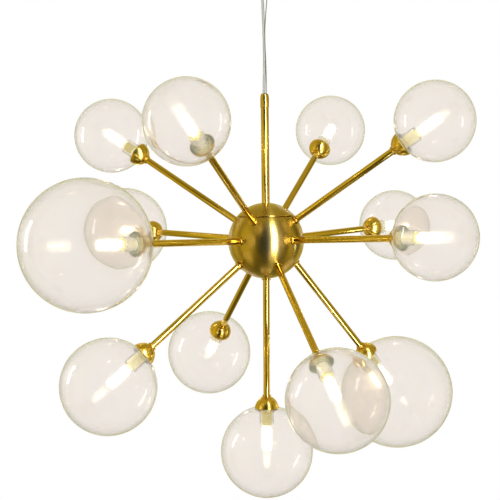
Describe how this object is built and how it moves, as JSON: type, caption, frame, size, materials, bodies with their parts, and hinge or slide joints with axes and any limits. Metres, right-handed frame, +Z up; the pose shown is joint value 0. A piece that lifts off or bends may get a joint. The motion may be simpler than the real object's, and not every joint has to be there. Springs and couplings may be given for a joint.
{
  "type": "multi arm chandelier",
  "caption": "Pendant chandelier: a brass ball hub on a cable-hung stem, with radiating rods that each end in a cup, a capsule bulb and a clear glass globe.",
  "frame": {"origin": "middle of the ceiling bracket's top face, which lies against the ceiling", "axes": "+Z up into the ceiling, along the hanging stem; the lamp's front faces -Y and its left is -X"},
  "size_m": [0.667, 0.6738, 0.8586],
  "materials": {
    "brushed_brass": "brushed and lacquered",
    "polished_brass": "satin polished",
    "clear_glass": "clear, blown",
    "bulb_glass": "clear capsule, lit",
    "holder_ceramic": "matte white",
    "clear_cable": "clear flexible jacket over two cores",
    "steel_wire": "bright stranded",
    "bracket_steel": "zinc plated"
  },
  "bodies": {
    "ceiling_fitting": {"ceiling_bracket": "bracket_steel", "canopy": "brushed_brass"},
    "cable": {"power_cable": "clear_cable", "suspension_wire": "steel_wire"},
    "gland": {"stem_finial": "brushed_brass"},
    "lamp": {"stem": "brushed_brass", "hub_shell": "brushed_brass", "hub_cap": "brushed_brass", "arm_upper_1": "polished_brass", "arm_upper_2": "polished_brass", "arm_upper_3": "polished_brass", "arm_upper_4": "polished_brass", "arm_middle_1": "polished_brass", "arm_middle_2": "polished_brass", "arm_middle_3": "polished_brass", "arm_middle_4": "polished_brass", "arm_lower_1": "polished_brass", "arm_lower_2": "polished_brass", "arm_lower_3": "polished_brass", "arm_lower_4": "polished_brass", "arm_bottom": "polished_brass", "lampholder_upper_1": "holder_ceramic", "lampholder_upper_2": "holder_ceramic", "lampholder_upper_3": "holder_ceramic", "lampholder_upper_4": "holder_ceramic", "lampholder_middle_1": "holder_ceramic", "lampholder_middle_2": "holder_ceramic", "lampholder_middle_3": "holder_ceramic", "lampholder_middle_4": "holder_ceramic", "lampholder_lower_1": "holder_ceramic", "lampholder_lower_2": "holder_ceramic", "lampholder_lower_3": "holder_ceramic", "lampholder_lower_4": "holder_ceramic", "lampholder_bottom": "holder_ceramic"},
    "globe_upper_1": {"globe_upper_1": "clear_glass"},
    "bulb_upper_1": {"bulb_upper_1": "bulb_glass"},
    "globe_upper_2": {"globe_upper_2": "clear_glass"},
    "bulb_upper_2": {"bulb_upper_2": "bulb_glass"},
    "globe_upper_3": {"globe_upper_3": "clear_glass"},
    "bulb_upper_3": {"bulb_upper_3": "bulb_glass"},
    "globe_upper_4": {"globe_upper_4": "clear_glass"},
    "bulb_upper_4": {"bulb_upper_4": "bulb_glass"},
    "globe_middle_1": {"globe_middle_1": "clear_glass"},
    "bulb_middle_1": {"bulb_middle_1": "bulb_glass"},
    "globe_middle_2": {"globe_middle_2": "clear_glass"},
    "bulb_middle_2": {"bulb_middle_2": "bulb_glass"},
    "globe_middle_3": {"globe_middle_3": "clear_glass"},
    "bulb_middle_3": {"bulb_middle_3": "bulb_glass"},
    "globe_middle_4": {"globe_middle_4": "clear_glass"},
    "bulb_middle_4": {"bulb_middle_4": "bulb_glass"},
    "globe_lower_1": {"globe_lower_1": "clear_glass"},
    "bulb_lower_1": {"bulb_lower_1": "bulb_glass"},
    "globe_lower_2": {"globe_lower_2": "clear_glass"},
    "bulb_lower_2": {"bulb_lower_2": "bulb_glass"},
    "globe_lower_3": {"globe_lower_3": "clear_glass"},
    "bulb_lower_3": {"bulb_lower_3": "bulb_glass"},
    "globe_lower_4": {"globe_lower_4": "clear_glass"},
    "bulb_lower_4": {"bulb_lower_4": "bulb_glass"},
    "globe_bottom": {"globe_bottom": "clear_glass"},
    "bulb_bottom": {"bulb_bottom": "bulb_glass"}
  },
  "joints": [
    {"name": "cable_swing", "type": "hinge", "parent": "ceiling_fitting", "child": "cable", "pos_m": [0, 0, -0.038], "axis": [1, 0, 0], "range_deg": [-12, 12]},
    {"name": "lamp_swing", "type": "hinge", "parent": "cable", "child": "gland", "pos_m": [0, 0, -0.203], "axis": [0, 1, 0], "range_deg": [-12, 12]},
    {"name": "lamp_turn", "type": "hinge", "parent": "gland", "child": "lamp", "pos_m": [0, 0, -0.439], "axis": [0, 0, 1], "range_deg": [-180, 180], "stiffness_Nm_per_rad": 0.02},
    {"name": "globe_upper_1_unscrew", "type": "hinge", "parent": "lamp", "child": "globe_upper_1", "pos_m": [0.09919, 0.20159, -0.28746], "axis": [0.366, 0.7439, 0.5592], "range_deg": [0, 720]},
    {"name": "bulb_upper_1_pull", "type": "slide", "parent": "lamp", "child": "bulb_upper_1", "axis": [0.366, 0.7439, 0.5592], "range_m": [0, 0.012]},
    {"name": "globe_upper_2_unscrew", "type": "hinge", "parent": "lamp", "child": "globe_upper_2", "pos_m": [-0.21131, 0.091, -0.29579], "axis": [-0.7797, 0.3358, 0.5284], "range_deg": [0, 720]},
    {"name": "bulb_upper_2_pull", "type": "slide", "parent": "lamp", "child": "bulb_upper_2", "axis": [-0.7797, 0.3358, 0.5284], "range_m": [0, 0.012]},
    {"name": "globe_upper_3_unscrew", "type": "hinge", "parent": "lamp", "child": "globe_upper_3", "pos_m": [-0.09208, -0.20779, -0.2914], "axis": [-0.3398, -0.7668, 0.5446], "range_deg": [0, 720]},
    {"name": "bulb_upper_3_pull", "type": "slide", "parent": "lamp", "child": "bulb_upper_3", "axis": [-0.3398, -0.7668, 0.5446], "range_m": [0, 0.012]},
    {"name": "globe_upper_4_unscrew", "type": "hinge", "parent": "lamp", "child": "globe_upper_4", "pos_m": [0.2101, -0.08107, -0.28824], "axis": [0.7753, -0.2992, 0.5563], "range_deg": [0, 720]},
    {"name": "bulb_upper_4_pull", "type": "slide", "parent": "lamp", "child": "bulb_upper_4", "axis": [0.7753, -0.2992, 0.5563], "range_m": [0, 0.012]},
    {"name": "globe_middle_1_unscrew", "type": "hinge", "parent": "lamp", "child": "globe_middle_1", "pos_m": [0.19146, 0.19146, -0.42765], "axis": [0.7065, 0.7065, 0.0419], "range_deg": [0, 720]},
    {"name": "bulb_middle_1_pull", "type": "slide", "parent": "lamp", "child": "bulb_middle_1", "axis": [0.7065, 0.7065, 0.0419], "range_m": [0, 0.012]},
    {"name": "globe_middle_2_unscrew", "type": "hinge", "parent": "lamp", "child": "globe_middle_2", "pos_m": [-0.19713, 0.18577, -0.43049], "axis": [-0.7274, 0.6855, 0.0314], "range_deg": [0, 720]},
    {"name": "bulb_middle_2_pull", "type": "slide", "parent": "lamp", "child": "bulb_middle_2", "axis": [-0.7274, 0.6855, 0.0314], "range_m": [0, 0.012]},
    {"name": "globe_middle_3_unscrew", "type": "hinge", "parent": "lamp", "child": "globe_middle_3", "pos_m": [-0.18988, -0.19323, -0.43191], "axis": [-0.7007, -0.713, 0.0262], "range_deg": [0, 720]},
    {"name": "bulb_middle_3_pull", "type": "slide", "parent": "lamp", "child": "bulb_middle_3", "axis": [-0.7007, -0.713, 0.0262], "range_m": [0, 0.012]},
    {"name": "globe_middle_4_unscrew", "type": "hinge", "parent": "lamp", "child": "globe_middle_4", "pos_m": [0.19378, -0.1891, -0.42765], "axis": [0.7151, -0.6978, 0.0419], "range_deg": [0, 720]},
    {"name": "bulb_middle_4_pull", "type": "slide", "parent": "lamp", "child": "bulb_middle_4", "axis": [0.7151, -0.6978, 0.0419], "range_m": [0, 0.012]},
    {"name": "globe_lower_1_unscrew", "type": "hinge", "parent": "lamp", "child": "globe_lower_1", "pos_m": [0.16858, 0.08209, -0.63524], "axis": [0.5779, 0.3021, -0.7581], "range_deg": [0, 720]},
    {"name": "bulb_lower_1_pull", "type": "slide", "parent": "lamp", "child": "bulb_lower_1", "axis": [0.5779, 0.3021, -0.7581], "range_m": [0, 0.012]},
    {"name": "globe_lower_2_unscrew", "type": "hinge", "parent": "lamp", "child": "globe_lower_2", "pos_m": [-0.08059, 0.19554, -0.60844], "axis": [-0.2974, 0.7215, -0.6252], "range_deg": [0, 720]},
    {"name": "bulb_lower_2_pull", "type": "slide", "parent": "lamp", "child": "bulb_lower_2", "axis": [-0.2974, 0.7215, -0.6252], "range_m": [0, 0.012]},
    {"name": "globe_lower_3_unscrew", "type": "hinge", "parent": "lamp", "child": "globe_lower_3", "pos_m": [-0.19291, -0.0867, -0.60844], "axis": [-0.7118, -0.3199, -0.6252], "range_deg": [0, 720]},
    {"name": "bulb_lower_3_pull", "type": "slide", "parent": "lamp", "child": "bulb_lower_3", "axis": [-0.7118, -0.3199, -0.6252], "range_m": [0, 0.012]},
    {"name": "globe_lower_4_unscrew", "type": "hinge", "parent": "lamp", "child": "globe_lower_4", "pos_m": [0.07531, -0.19826, -0.6077], "axis": [0.2779, -0.7316, -0.6225], "range_deg": [0, 720]},
    {"name": "bulb_lower_4_pull", "type": "slide", "parent": "lamp", "child": "bulb_lower_4", "axis": [0.2779, -0.7316, -0.6225], "range_m": [0, 0.012]},
    {"name": "globe_bottom_unscrew", "type": "hinge", "parent": "lamp", "child": "globe_bottom", "pos_m": [-0.00162, 0.00444, -0.70996], "axis": [-0.006, 0.0164, -0.9998], "range_deg": [0, 720]},
    {"name": "bulb_bottom_pull", "type": "slide", "parent": "lamp", "child": "bulb_bottom", "axis": [-0.006, 0.0164, -0.9998], "range_m": [0, 0.012]}
  ]
}
